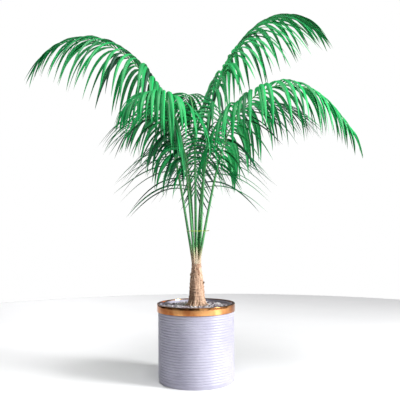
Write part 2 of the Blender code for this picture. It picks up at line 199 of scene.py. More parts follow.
def makePatches():
    # two colours mixed by a stretched noise, with the same noise as a mask
    group = bpy.data.node_groups.new("patches", "ShaderNodeTree")
    addSockets(group, "INPUT", [
        ("Ground", "Color", (0.5, 0.5, 0.5, 1)), ("Patch", "Color", (0.6, 0.6, 0.6, 1)),
        ("Size", "Float", 20), ("Stretch", "Vector", (1, 1, 1)),
        ("From", "Float", 0.4), ("To", "Float", 0.6)])
    addSockets(group, "OUTPUT", [("Colour", "Color"), ("Mask", "Float")])
    nodes, links = group.nodes, group.links
    given, result = nodes.new("NodeGroupInput"), nodes.new("NodeGroupOutput")
    place = nodes.new("ShaderNodeTexCoord")
    stretch = nodes.new("ShaderNodeVectorMath")
    stretch.operation = "MULTIPLY"
    links.new(place.outputs["Object"], stretch.inputs[0])
    links.new(given.outputs["Stretch"], stretch.inputs[1])
    cloud = nodes.new("ShaderNodeTexNoise")
    cloud.inputs["Detail"].default_value = 5
    links.new(stretch.outputs[0], cloud.inputs["Vector"])
    links.new(given.outputs["Size"], cloud.inputs["Scale"])
    spread = nodes.new("ShaderNodeMapRange")
    links.new(cloud.outputs["Fac"], spread.inputs["Value"])
    links.new(given.outputs["From"], spread.inputs["From Min"])
    links.new(given.outputs["To"], spread.inputs["From Max"])
    blend = nodes.new("ShaderNodeMix")
    blend.data_type = "RGBA"
    links.new(spread.outputs["Result"], blend.inputs["Factor"])
    links.new(given.outputs["Ground"], blend.inputs["A"])
    links.new(given.outputs["Patch"], blend.inputs["B"])
    links.new(blend.outputs["Result"], result.inputs["Colour"])
    links.new(spread.outputs["Result"], result.inputs["Mask"])
    return group


patches = makePatches()


def newMaterial(name, colour, rough):
    material = bpy.data.materials.new(name)
    material.use_nodes = True
    material.diffuse_color = (*colour, 1)
    shader = material.node_tree.nodes["Principled BSDF"]
    shader.inputs["Roughness"].default_value = rough
    return material, shader


def addPatches(nodes, patch, size, stretch, span):
    layer = nodes.new("ShaderNodeGroup")
    layer.node_tree = patches
    layer.inputs["Patch"].default_value = (*patch, 1)
    layer.inputs["Size"].default_value = size
    layer.inputs["Stretch"].default_value = stretch
    layer.inputs["From"].default_value, layer.inputs["To"].default_value = span
    return layer


def finishOf(name, ground, patch, size, stretch=(1, 1, 1), span=(0.4, 0.6), rough=0.5, metal=0.0,
             bump=0.0, depth=0.001, roughSpan=None, second=None):
    # a mottled material; second is (colour, size, stretch, span) of a finer layer over the first
    material, shader = newMaterial(name, ground, rough)
    nodes, links = material.node_tree.nodes, material.node_tree.links
    shader.inputs["Metallic"].default_value = metal
    layer = top = addPatches(nodes, patch, size, stretch, span)
    layer.inputs["Ground"].default_value = (*ground, 1)
    if second:
        top = addPatches(nodes, *second)
        links.new(layer.outputs["Colour"], top.inputs["Ground"])
    links.new(top.outputs["Colour"], shader.inputs["Base Color"])
    if roughSpan:
        vary = mapped(nodes, links, layer.outputs["Mask"], (0, 1), roughSpan)
        links.new(vary.outputs["Result"], shader.inputs["Roughness"])
    if bump:
        relief = nodes.new("ShaderNodeBump")
        relief.inputs["Strength"].default_value = bump
        relief.inputs["Distance"].default_value = depth
        links.new(top.outputs["Mask"], relief.inputs["Height"])
        links.new(relief.outputs["Normal"], shader.inputs["Normal"])
    return material


# planter

pot = {"height": 0.320, "radius": 0.160, "wall": 0.009, "floor": 0.012, "gap": 0.0003, "segments": 144,
       "ribs": 26, "ribSteps": 8, "ribPower": 0.7, "groove": 0.0021, "ribsFrom": 0.010,
       "footRound": 0.004, "footSteps": 6, "footRing": (0.146, 0.144), "footLift": 0.0016, "seat": 0.0004}
# the band's last two values are the heights of the painted shade along its top lip and its foot
band = {"radius": 0.165, "height": 0.032, "lip": 0.0032, "mouth": 0.1535, "mouthRound": 0.0004,
        "mouthDrop": 0.0005, "topRound": 0.0016, "footRound": 0.0012, "roundSteps": 5, "crown": 0.0001,
        "crownFrom": 0.010, "crownTo": 0.012, "shadedTop": 0.0012, "shadedFoot": 0.0010}
onAxis = 0.0005  # a profile point nearer to the axis than this is a single point


def turned(name, profile, segments):
    # a closed solid of revolution from (radius, height) rows that run down its outside
    build = bmesh.new()
    rings = []
    for radius, height in profile:
        if radius < onAxis:
            rings.append([build.verts.new((0, 0, height))])
        else:
            rings.append([build.verts.new((radius * cos(tau * side / segments),
                                           radius * sin(tau * side / segments), height))
                          for side in range(segments)])
    pairs = list(zip(rings, rings[1:]))
    if profile[0][0] > onAxis:
        pairs.append((rings[-1], rings[0]))
    for upper, lower in pairs:
        for side in range(segments):
            after = (side + 1) % segments
            corners = [upper[side % len(upper)], lower[side % len(lower)],
                       lower[after % len(lower)], upper[after % len(upper)]]
            build.faces.new(list(dict.fromkeys(corners)))
    bmesh.ops.recalc_face_normals(build, faces=build.faces)
    mesh = bpy.data.meshes.new(name)
    build.to_mesh(mesh)
    build.free()
    mesh.shade_smooth()
    mesh.set_sharp_from_angle(angle=radians(sharp["planter"]))
    return newPiece(name, mesh)


def makePot():
    inner = pot["radius"] - pot["wall"]
    edge = pot["height"] - band["lip"] - pot["gap"]
    bandFoot = pot["height"] - band["height"] - pot["gap"]
    pitch = (bandFoot - pot["ribsFrom"]) / pot["ribs"]
    low = pot["radius"] - pot["groove"]
    neck = pot["radius"] - pot["seat"]
    profile = [(0, pot["floor"]), (inner, pot["floor"]), (inner, edge), (neck, edge), (neck, bandFoot)]
    for step in range(pot["ribs"] * pot["ribSteps"] + 1):
        bulge = abs(sin(pi * step / pot["ribSteps"])) ** pot["ribPower"]
        profile.append((low + pot["groove"] * bulge, bandFoot - pitch * step / pot["ribSteps"]))
    for step in range(pot["footSteps"] + 1):
        turn = pi / 2 * step / pot["footSteps"]
        profile.append((low - pot["footRound"] * (1 - cos(turn)), pot["footRound"] * (1 - sin(turn))))
    profile += [(pot["footRing"][0], 0), (pot["footRing"][1], pot["footLift"]), (0, pot["footLift"])]
    piece = turned("ribbed_pot", profile, pot["segments"])
    giveMaterials(piece, [finishOf("satinWhiteGlaze", (0.38, 0.37, 0.47), (0.46, 0.45, 0.55), 7,
                                   span=(0.35, 0.65), rough=0.4, bump=0.04, depth=0.0004,
                                   roughSpan=(0.34, 0.46),
                                   second=((0.36, 0.35, 0.45), 210, (1, 1, 1), (0.66, 0.80)))])
    keepPiece(piece, "pot_ceramic", "pot")


def makeBand():
    top, foot = pot["height"], pot["height"] - band["height"]
    turns = [pi / 2 * step / band["roundSteps"] for step in range(band["roundSteps"] + 1)]
    profile = [(band["mouth"], top - band["lip"]),
               (band["mouth"] + band["mouthRound"], top - band["mouthDrop"])]
    profile += [(band["radius"] - band["topRound"] * (1 - sin(turn)),
                 top - band["topRound"] * (1 - cos(turn))) for turn in turns]
    profile += [(band["radius"] + band["crown"], top - band["crownTo"]),
                (band["radius"] + band["crown"], foot + band["crownFrom"])]
    profile += [(band["radius"] - band["footRound"] * (1 - cos(turn)),
                 foot + band["footRound"] * (1 - sin(turn))) for turn in turns]
    profile += [(pot["radius"], foot), (pot["radius"], top - band["lip"])]
    piece = turned("copper_band", profile, pot["segments"])
    giveMaterials(piece, [
        # dark copper mottled with bright gold patches: the copper's own colour with painted reflections
        # over it
        finishOf("copperPaintedReflections", (0.42, 0.15, 0.05), (0.86, 0.44, 0.17), 17, stretch=(1, 1, 0.5),
                 span=(0.38, 0.62), rough=0.13, metal=1.0, bump=0.10, depth=0.0012, roughSpan=(0.09, 0.20)),
        finishOf("shadedCopperEdge", (0.10, 0.045, 0.02), (0.22, 0.10, 0.045), 30, rough=0.3, metal=1.0)])
    # faces along the top lip, and along the foot where the band meets the pot, take the second, dark
    # copper: painted shade
    for face in piece.data.polygons:
        dark = face.center.z > top - band["shadedTop"] or face.center.z < foot + band["shadedFoot"]
        face.material_index = 1 if dark else 0
    keepPiece(piece, "rim_copper", "rim_band")


def finishFilling():
    giveMaterials(bpy.data.objects["potting_mix"], [
        finishOf("moistPottingMix", (0.030, 0.020, 0.014), (0.085, 0.055, 0.035), 160,
                 span=(0.4, 0.62), rough=0.95, bump=0.8, depth=0.002)])
    giveMaterials(bpy.data.objects["gravel"], [
        finishOf("gravelShade", (0.10, 0.085, 0.085), (0.28, 0.25, 0.25), 220,
                 span=(0.42, 0.6), rough=0.95, bump=0.9, depth=0.002)])


makePot()
makeBand()
finishFilling()
print("planter made")

# pebbles, scattered over the gravel by Geometry Nodes

pebble = {"radius": 0.0040, "shapes": 6, "lumps": 0.30, "grain": 0.9, "apart": 3.7,
          "long": (0.85, 1.3), "wide": (0.7, 1.0), "high": (0.55, 0.85)}
bed = {"top": 0.310, "edge": 0.305, "mound": 0.070, "wall": 0.151, "inner": 0.030, "outer": 0.1495,
       "rings": 8, "sides": 48}
scatterValues = {"Spacing": 0.0060, "Density": 60000, "Smallest": 0.62, "Largest": 1.25,
                 "Tumble": (0.5, 0.5, 3.1), "Kinds": 4}
scatterSeeds = {"spots": 3, "tumble": 7, "size": 9, "kind": 11}


def randomValue(nodes, dataType, seed):
    node = nodes.new("FunctionNodeRandomValue")
    node.data_type = dataType
    node.inputs["Seed"].default_value = seed
    return node


def makeScatterTree(kinds):
    # instances from a collection on the faces of a mesh, each turned, sized and coloured by chance
    tree = bpy.data.node_groups.new("scatter", "GeometryNodeTree")
    addSockets(tree, "INPUT", [
        ("Geometry", "Geometry"), ("Shapes", "Collection"), ("Spacing", "Float", 0.005),
        ("Density", "Float", 1000), ("Smallest", "Float", 0.6), ("Largest", "Float", 1.2),
        ("Tumble", "Vector", (1, 1, 1)), ("Kinds", "Int", kinds)])
    addSockets(tree, "INPUT", [(f"Material {kind + 1}", "Material") for kind in range(kinds)])
    addSockets(tree, "OUTPUT", [("Geometry", "Geometry")])
    nodes, links = tree.nodes, tree.links
    given, result = nodes.new("NodeGroupInput"), nodes.new("NodeGroupOutput")
    spots = nodes.new("GeometryNodeDistributePointsOnFaces")
    spots.distribute_method = "POISSON"
    spots.inputs["Seed"].default_value = scatterSeeds["spots"]
    links.new(given.outputs["Geometry"], spots.inputs["Mesh"])
    links.new(given.outputs["Spacing"], spots.inputs["Distance Min"])
    links.new(given.outputs["Density"], spots.inputs["Density Max"])
    shapes = nodes.new("GeometryNodeCollectionInfo")
    shapes.inputs["Separate Children"].default_value = True
    shapes.inputs["Reset Children"].default_value = True
    links.new(given.outputs["Shapes"], shapes.inputs["Collection"])
    tumble = randomValue(nodes, "FLOAT_VECTOR", scatterSeeds["tumble"])
    negative = nodes.new("ShaderNodeVectorMath")
    negative.operation = "SCALE"
    negative.inputs["Scale"].default_value = -1
    links.new(given.outputs["Tumble"], negative.inputs[0])
    links.new(negative.outputs["Vector"], tumble.inputs[0])
    links.new(given.outputs["Tumble"], tumble.inputs[1])
    sizes = randomValue(nodes, "FLOAT", scatterSeeds["size"])
    links.new(given.outputs["Smallest"], sizes.inputs[2])
    links.new(given.outputs["Largest"], sizes.inputs[3])
    placed = nodes.new("GeometryNodeInstanceOnPoints")
    placed.inputs["Pick Instance"].default_value = True
    links.new(spots.outputs["Points"], placed.inputs["Points"])
    links.new(shapes.outputs["Instances"], placed.inputs["Instance"])
    links.new(spots.outputs["Rotation"], placed.inputs["Rotation"])
    links.new(sizes.outputs[1], placed.inputs["Scale"])
    tumbled = nodes.new("GeometryNodeRotateInstances")
    links.new(placed.outputs["Instances"], tumbled.inputs["Instances"])
    links.new(tumble.outputs[0], tumbled.inputs["Rotation"])
    number = randomValue(nodes, "INT", scatterSeeds["kind"])
    number.inputs[4].default_value = 1
    links.new(given.outputs["Kinds"], number.inputs[5])
    marked = nodes.new("GeometryNodeStoreNamedAttribute")
    marked.data_type = "INT"
    marked.domain = "INSTANCE"
    marked.inputs["Name"].default_value = "kind"
    links.new(tumbled.outputs["Instances"], marked.inputs["Geometry"])
    links.new(number.outputs[2], marked.inputs["Value"])
    real = nodes.new("GeometryNodeRealizeInstances")
    links.new(marked.outputs["Geometry"], real.inputs["Geometry"])
    last = real.outputs["Geometry"]
    for kind in range(kinds):
        read = nodes.new("GeometryNodeInputNamedAttribute")
        read.data_type = "INT"
        read.inputs["Name"].default_value = "kind"
        same = nodes.new("FunctionNodeCompare")
        same.data_type = "INT"
        same.operation = "EQUAL"
        links.new(read.outputs["Attribute"], same.inputs[2])
        same.inputs[3].default_value = kind + 1
        look = nodes.new("GeometryNodeSetMaterial")
        links.new(last, look.inputs["Geometry"])
        links.new(same.outputs["Result"], look.inputs["Selection"])
        links.new(given.outputs[f"Material {kind + 1}"], look.inputs["Material"])
        last = look.outputs["Geometry"]
    links.new(last, result.inputs["Geometry"])
    return tree


def scattered(name, ground, tree, values):
    # runs the tree on a ground mesh and gives the result as a plain mesh piece
    holder = newPiece(name + "_ground", ground)
    modifier = holder.modifiers.new("scatter", "NODES")
    modifier.node_group = tree
    sockets = {item.name: item.identifier for item in tree.interface.items_tree if item.in_out == "INPUT"}
    for socketName, value in values.items():
        modifier[sockets[socketName]] = value
    graph = bpy.context.evaluated_depsgraph_get()
    graph.update()
    mesh = bpy.data.meshes.new_from_object(holder.evaluated_get(graph))
    bpy.data.objects.remove(holder)
    if "kind" in mesh.attributes:
        mesh.attributes.remove(mesh.attributes["kind"])
    mesh.shade_smooth()
    return newPiece(name, mesh)


def pebbleMesh(seed):
    build = bmesh.new()
    bmesh.ops.create_icosphere(build, subdivisions=2, radius=pebble["radius"])
    chance = Random(seed)
    sizes = Vector([chance.uniform(*pebble[side]) for side in ("long", "wide", "high")])
    for vertex in build.verts:
        place = vertex.co / pebble["radius"] * pebble["grain"] + Vector((seed * pebble["apart"], 0, 0))
        lump = 1 + pebble["lumps"] * wander(place)
        vertex.co = Vector([part * size for part, size in zip(vertex.co, sizes)]) * lump
    mesh = bpy.data.meshes.new("pebble")
    build.to_mesh(mesh)
    build.free()
    return mesh


def bedMesh():
    # the ring of gravel round the trunk, a little higher in the middle
    heights = ((0, bed["top"]), (bed["mound"], bed["top"]), (bed["wall"], bed["edge"]))
    sides = bed["sides"]
    vertices, faces = [], []
    for ring in range(bed["rings"] + 1):
        radius = bed["inner"] + (bed["outer"] - bed["inner"]) * ring / bed["rings"]
        for side in range(sides):
            turn = tau * side / sides
            vertices.append((radius * cos(turn), radius * sin(turn), between(radius, heights)))
    for ring in range(bed["rings"]):
        for side in range(sides):
            here, beside = ring * sides + side, ring * sides + (side + 1) % sides
            faces.append((here, here + sides, beside + sides, beside))
    return meshOf("bed", vertices, faces)


def makePebbles():
    looks = [finishOf("greyPebble", (0.050, 0.045, 0.055), (0.15, 0.13, 0.15), 260, rough=0.75),
             finishOf("whitePebble", (0.66, 0.64, 0.66), (0.82, 0.80, 0.81), 240, rough=0.7),
             finishOf("mauvePebble", (0.26, 0.19, 0.23), (0.40, 0.32, 0.37), 260, rough=0.75),
             finishOf("palePebble", (0.30, 0.28, 0.30), (0.46, 0.43, 0.45), 230, rough=0.75)]
    shelf = bpy.data.collections.new("pebbles")
    for seed in range(pebble["shapes"]):
        shelf.objects.link(bpy.data.objects.new(f"pebbles_{seed}", pebbleMesh(seed)))
    values = {"Shapes": shelf, **scatterValues}
    values.update({f"Material {index + 1}": look for index, look in enumerate(looks)})
    piece = scattered("pebbles", bedMesh(), makeScatterTree(len(looks)), values)
    for shape in list(shelf.objects):
        bpy.data.objects.remove(shape)
    bpy.data.collections.remove(shelf)
    keepPiece(piece, "gravel")
    print("pebbles made with", len(piece.data.polygons), "faces")


makePebbles()

# tubes and bundles of small shapes


def tubeFaces(rows, sides):
    # the faces of rings of vertices one above the other, with both ends closed
    faces = []
    for row in range(rows):
        for side in range(sides):
            here, beside = row * sides + side, row * sides + (side + 1) % sides
            faces.append((here, beside, beside + sides, here + sides))
    return faces + [tuple(reversed(range(sides))), tuple(range(rows * sides, (rows + 1) * sides))]


def tubeShape(points, radii, sides, flat=1.0):
    # a tube through points with a radius at each; flat below 1 presses it flatter
    vertices = []
    side = None
    for index, point in enumerate(points):
        ahead = (points[min(index + 1, len(points) - 1)] - points[max(index - 1, 0)]).normalized()
        if side is None:
            side = ahead.cross(up if abs(ahead.z) < 0.9 else Vector((1, 0, 0))).normalized()
        side = (side - ahead * side.dot(ahead)).normalized()
        other = ahead.cross(side)
        for step in range(sides):
            turn = tau * step / sides
            vertices.append(point + (side * cos(turn) + other * sin(turn) * flat) * radii[index])
    return vertices, tubeFaces(len(points) - 1, sides)


class Bundle:
    # many small shapes gathered for one mesh, each with its own material number
    def __init__(self):
        self.vertices, self.faces, self.marks = [], [], []

    def add(self, shape, mark=0):
        start = len(self.vertices)
        self.vertices += shape[0]
        self.faces += [tuple(corner + start for corner in face) for face in shape[1]]
        self.marks += [mark] * len(shape[1])

    def piece(self, name, materials):
        mesh = bpy.data.meshes.new(name)
        mesh.from_pydata([tuple(vertex) for vertex in self.vertices], [], self.faces)
        for material in materials:
            mesh.materials.append(material)
        mesh.polygons.foreach_set("material_index", self.marks)
        mesh.shade_smooth()
        mesh.set_sharp_from_angle(angle=radians(sharp["bundle"]))
        return newPiece(name, mesh)


# trunk, with heights above its foot on the gravel

trunk = {
    "x": 0.0035, "foot": 0.3103, "top": 0.485, "sides": 96, "rows": 110,
    "radii": ((0.000, 0.0390), (0.008, 0.0365), (0.020, 0.0345), (0.045, 0.0318), (0.080, 0.0298),
              (0.112, 0.0266), (0.132, 0.0232), (0.152, 0.0206), (0.175, 0.0195)),
    "lobes": 7, "broadLobes": 3, "broadShare": 0.4,
    "swell": ((0.000, 0.0065), (0.008, 0.0050), (0.020, 0.0030), (0.045, 0.0012), (0.175, 0.0)),
    "coarse": {"depth": 0.0021, "round": 22, "upright": 26},
    "fine": {"depth": 0.0012, "round": 60, "upright": 80},
}
# each scar of an old leaf base is a wavy ridge with a groove above it
scar = {"heights": (0.022, 0.040, 0.058, 0.077, 0.094, 0.110, 0.124, 0.137, 0.149, 0.160),
        "wave": 0.004, "waveShift": 2.2, "ripple": 0.0016, "ripples": 3, "ridge": 0.0017,
        "ridgeWidth": 0.0019, "groove": 0.0011, "grooveWidth": 0.0024, "grooveAbove": 0.0042}


def trunkRadius(height, turn):
    lobed = cos(trunk["lobes"] * turn) + trunk["broadShare"] * sin(trunk["broadLobes"] * turn)
    radius = between(height, trunk["radii"]) + between(height, trunk["swell"]) * lobed
    for index, level in enumerate(scar["heights"]):
        wavy = level + scar["wave"] * sin(turn + index * scar["waveShift"])
        above = height - (wavy + scar["ripple"] * sin(scar["ripples"] * turn + index))
        ridge = scar["ridge"] * exp(-(above / scar["ridgeWidth"]) ** 2)
        groove = scar["groove"] * exp(-((above - scar["grooveAbove"]) / scar["grooveWidth"]) ** 2)
        radius += ridge - groove
    around = outwardAt(turn)
    for relief in (trunk["coarse"], trunk["fine"]):
        radius += relief["depth"] * wander(Vector((around.x * relief["round"], around.y * relief["round"],
                                                   height * relief["upright"])))
    return radius


def makeTrunk():
    vertices = []
    for row in range(trunk["rows"] + 1):
        height = (trunk["top"] - trunk["foot"]) * row / trunk["rows"]
        for side in range(trunk["sides"]):
            turn = tau * side / trunk["sides"]
            radius = trunkRadius(height, turn)
            vertices.append((trunk["x"] + radius * cos(turn), radius * sin(turn), trunk["foot"] + height))
    piece = newPiece("bark", meshOf("bark", vertices, tubeFaces(trunk["rows"], trunk["sides"])))
    piece.data.set_sharp_from_angle(angle=radians(sharp["bark"]))
    giveMaterials(piece, [
        finishOf("fibrousBark", (0.36, 0.21, 0.135), (0.66, 0.45, 0.32), 60, stretch=(1, 1, 0.22),
                 span=(0.34, 0.66), rough=0.88, bump=0.7, depth=0.0012,
                 second=((0.17, 0.10, 0.055), 130, (1, 1, 0.30), (0.56, 0.70)))])
    keepPiece(piece, "trunk_bark", "trunk")


roots = {"count": 22, "seed": 21, "steps": 6, "sides": 7, "uneven": 0.3, "start": (0.010, 0.030),
         "reach": (0.010, 0.024), "reachPower": 1.6, "fallPower": 1.3, "sunk": 0.001, "wave": 0.004,
         "waves": 4, "radius": 0.0023, "taper": 0.55}
# a dark stub of an old leaf on the right and a bump on the left, their paths outward and up
knobs = {
    "stub": {"facing": -14, "height": 0.092, "path": ((0, 0), (0.004, 0.002), (0.007, 0.007)),
             "radii": (0.0052, 0.0046, 0.0034), "material": 1},
    "bump": {"facing": 190, "height": 0.128, "path": ((0, -0.006), (0.003, 0), (0.001, 0.010)),
             "radii": (0.0040, 0.0052, 0.0028), "material": 0},
}
knobSunk, knobSides = 0.003, 10


def makeRoots():
    chance = Random(roots["seed"])
    bundle = Bundle()
    for index in range(roots["count"]):
        out = outwardAt(tau * (index + eitherWay(chance, roots["uneven"])) / roots["count"])
        start = chance.uniform(*roots["start"])
        reach = chance.uniform(*roots["reach"])
        points, radii = [], []
        for step in range(roots["steps"] + 1):
            share = step / roots["steps"]
            away = between(start * (1 - share), trunk["radii"]) - roots["sunk"]
            place = out * (away + reach * share ** roots["reachPower"])
            place += out.cross(up) * roots["wave"] * sin(share * roots["waves"] + index) * share
            height = trunk["foot"] + start * (1 - share) ** roots["fallPower"] - roots["sunk"]
            points.append(Vector((trunk["x"] + place.x, place.y, height)))
            radii.append(roots["radius"] * (1 - roots["taper"] * share))
        bundle.add(tubeShape(points, radii, roots["sides"]))
    for knob in knobs.values():
        out = outwardAt(radians(knob["facing"]))
        base = Vector((trunk["x"], 0, trunk["foot"] + knob["height"]))
        base += out * (between(knob["height"], trunk["radii"]) - knobSunk)
        points = [base + out * away + up * rise for away, rise in knob["path"]]
        bundle.add(tubeShape(points, knob["radii"], knobSides), knob["material"])
    piece = bundle.piece("root_flare", [
        finishOf("rootSkin", (0.36, 0.24, 0.15), (0.56, 0.40, 0.26), 120, stretch=(1, 1, 0.5), rough=0.85,
                 bump=0.4, depth=0.0006),
        finishOf("dryStub", (0.10, 0.065, 0.04), (0.22, 0.14, 0.085), 150, rough=0.9,
                 bump=0.5, depth=0.0008)])
    keepPiece(piece, "trunk_bark")


makeTrunk()
makeRoots()
print("trunk made")

# fronds

# foot and bearing turn from +X towards +Y in degrees; a frond leaves the trunk at the slope rise
# and ends at the slope fall, and hold and snap say where its bend lies. wide, apart and long make
# its leaflets wider, sparser and longer, and greens weighs the four greens, brightest first. These are
# one leaf green at lit to shaded levels: front and side fronds lean to painted light, low back fronds to
# painted shade
fronds = {
    "left": {
        "foot": 190, "central": False, "bearing": 178, "swing": 24, "length": 1.33, "rise": 81.2,
        "fall": -47, "hold": 4.0, "snap": 1.33, "bare": 0.36, "leaflet": 0.42, "hang": -72, "spread": 58,
        "seed": 11, "wide": 1.00, "apart": 1.00, "long": 1.00, "greens": (5, 6, 3, 1)},
    "front_left": {
        "foot": 237, "central": False, "bearing": 244, "swing": -21, "length": 0.93, "rise": 80.4,
        "fall": -44, "hold": 6.2, "snap": 2.7, "bare": 0.45, "leaflet": 0.40, "hang": -82, "spread": 60,
        "seed": 12, "wide": 0.80, "apart": 0.68, "long": 0.80, "greens": (9, 5, 1, 0)},
    "front_right": {
        "foot": 313, "central": False, "bearing": 322, "swing": 34, "length": 1.20, "rise": 76.2,
        "fall": -53, "hold": 4.6, "snap": 3.46, "bare": 0.38, "leaflet": 0.33, "hang": -86, "spread": 66,
        "seed": 13, "wide": 0.90, "apart": 0.85, "long": 1.00, "greens": (9, 5, 1, 0)},
    "right": {
        "foot": 12, "central": False, "bearing": 8, "swing": 14, "length": 1.41, "rise": 87,
        "fall": -36, "hold": 2.9, "snap": 0.70, "bare": 0.40, "leaflet": 0.43, "hang": -58, "spread": 48,
        "seed": 14, "wide": 1.00, "apart": 1.00, "long": 1.00, "greens": (6, 6, 3, 1)},
    "back_right": {
        "foot": 56, "central": False, "bearing": 44, "swing": -38, "length": 1.07, "rise": 87.8,
        "fall": -37, "hold": 2.35, "snap": 1.03, "bare": 0.33, "leaflet": 0.42, "hang": -52, "spread": 60,
        "seed": 15, "wide": 0.68, "apart": 1.25, "long": 1.00, "greens": (0, 1, 4, 7)},
    "back": {
        "foot": 100, "central": False, "bearing": 92, "swing": -4, "length": 1.10, "rise": 89.4,
        "fall": -80, "hold": 2.2, "snap": 1.36, "bare": 0.27, "leaflet": 0.43, "hang": -48, "spread": 66,
        "seed": 16, "wide": 0.68, "apart": 1.25, "long": 1.00, "greens": (0, 2, 5, 6)},
    "back_upper": {
        "foot": 118, "central": True, "bearing": 115, "swing": -15, "length": 0.93, "rise": 89.5,
        "fall": -80, "hold": 9.0, "snap": 2.2, "bare": 0.66, "leaflet": 0.22, "hang": -60, "spread": 60,
        "seed": 17, "wide": 0.80, "apart": 0.80, "long": 1.00, "greens": (2, 6, 4, 1)},
    "back_left": {
        "foot": 144, "central": False, "bearing": 150, "swing": 1, "length": 0.89, "rise": 87.9,
        "fall": -37, "hold": 4.4, "snap": 1.83, "bare": 0.42, "leaflet": 0.40, "hang": -56, "spread": 60,
        "seed": 18, "wide": 0.68, "apart": 1.25, "long": 1.00, "greens": (0, 2, 4, 6)},
}
stem = {"ring": 0.0132, "foot": 0.0044, "split": 0.0036, "tip": 0.0011, "steps": 120, "lift": 0.00035,
        "petioleSteps": 24, "petioleSides": 14, "fuller": 1.3, "footSwell": 0.25, "swellFade": 0.030,
        "rachisSteps": 60, "rachisSides": 8, "rachisShare": 0.9, "tanFrom": 0.492, "tanTo": 0.575}
leaf = {"spacing": 0.021, "first": 0.4, "stagger": 0.2, "shift": 0.12, "last": 0.995, "endAt": 0.998,
        "endHand": 0.35, "width": 0.0195, "narrowest": 0.55, "widening": 0.45, "rows": 12,
        "columns": (-1, -0.5, 0, 0.5, 1), "startReach": 0.82, "growth": 0.18, "fullFrom": 0.25,
        "tipLoss": 0.60, "tipFrom": 0.45, "tipSpan": 0.55, "seat": 0.6, "spreadLoss": 36, "lift": 20,
        "roll": 0.35, "nearlyUpright": 0.05, "foldPower": 0.8,
        "outline": ((0.0, 0.16), (0.05, 0.45), (0.14, 0.80), (0.30, 1.0), (0.50, 0.94), (0.72, 0.66),
                    (0.90, 0.27), (1.0, 0.02))}
# how far one leaflet differs from the next
leafChance = {"spread": 6, "hang": 8, "length": (0.92, 1.04), "width": (0.9, 1.12), "twist": 0.45,
              "droop": (1.7, 2.3), "fold": (0.14, 0.30), "veer": 0.10}
# one leaf green at four levels from lit to shaded, brightest first: painted light and painted shade
greens = {"litLeaf": ((0.004, 0.35, 0.082), 0.5), "halfLitLeaf": ((0.003, 0.26, 0.062), 0.5),
          "halfShadedLeaf": ((0.003, 0.165, 0.045), 0.5), "shadedLeaf": ((0.004, 0.065, 0.028), 0.55)}
leafShine = 0.45


def frondLine(frond):
    # points along a frond's midline, from its foot on the trunk to its tip
    turn = radians(frond["foot"])
    ring = 0 if frond["central"] else stem["ring"]
    lift = stem["lift"] + stem["foot"] * cos(radians(frond["rise"]))
    point = Vector((trunk["x"] + ring * cos(turn), ring * sin(turn), trunk["top"] + lift))
    points = [point]
    step = frond["length"] / stem["steps"]
    for index in range(stem["steps"]):
        share = (index + 0.5) / stem["steps"]
        bent = 1 - (1 - share ** frond["hold"]) ** frond["snap"]
        slope = radians(frond["rise"] + (frond["fall"] - frond["rise"]) * bent)
        heading = radians(frond["bearing"] + frond["swing"] * share ** 2)
        level = step * cos(slope)
        point = point + Vector((level * cos(heading), level * sin(heading), step * sin(slope)))
        points.append(point)
    return points


def onLine(line, share):
    # the point at a share of a line's length, and the line's direction there
    place = min(max(share, 0), 1) * (len(line) - 1)
    index = min(int(place), len(line) - 2)
    return line[index].lerp(line[index + 1], place - index), (line[index + 1] - line[index]).normalized()


def stemRadius(frond, share):
    bare = frond["bare"]
    if share < bare:
        return stem["foot"] + (stem["split"] - stem["foot"]) * share / bare
    return stem["split"] + (stem["tip"] - stem["split"]) * (share - bare) / (1 - bare)


def leafletReach(along):
    # length of a leaflet as a share of its frond's longest, at a share along the blade
    growing = leaf["startReach"] + leaf["growth"] * smooth(along / leaf["fullFrom"])
    return growing * (1 - leaf["tipLoss"] * smooth((along - leaf["tipFrom"]) / leaf["tipSpan"]))


